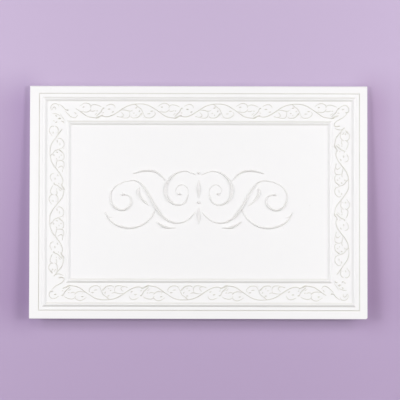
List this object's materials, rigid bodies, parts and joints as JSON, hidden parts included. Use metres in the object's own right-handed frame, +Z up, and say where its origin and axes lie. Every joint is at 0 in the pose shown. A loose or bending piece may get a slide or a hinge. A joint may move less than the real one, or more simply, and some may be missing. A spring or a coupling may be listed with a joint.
{
  "type": "greeting card",
  "caption": "Folded white note card with a raised frame, scroll border and pen ornament blind-embossed on its front.",
  "frame": {"origin": "on the table, under the middle of the card", "axes": "+X along the fold, +Y towards the fold, +Z up out of the embossed front"},
  "size_m": [0.1238, 0.0854, 0.0042],
  "materials": {
    "card_stock": "matt white card stock with a fine tooth"
  },
  "bodies": {
    "root": {"folded_card": "card_stock"}
  },
  "joints": []
}
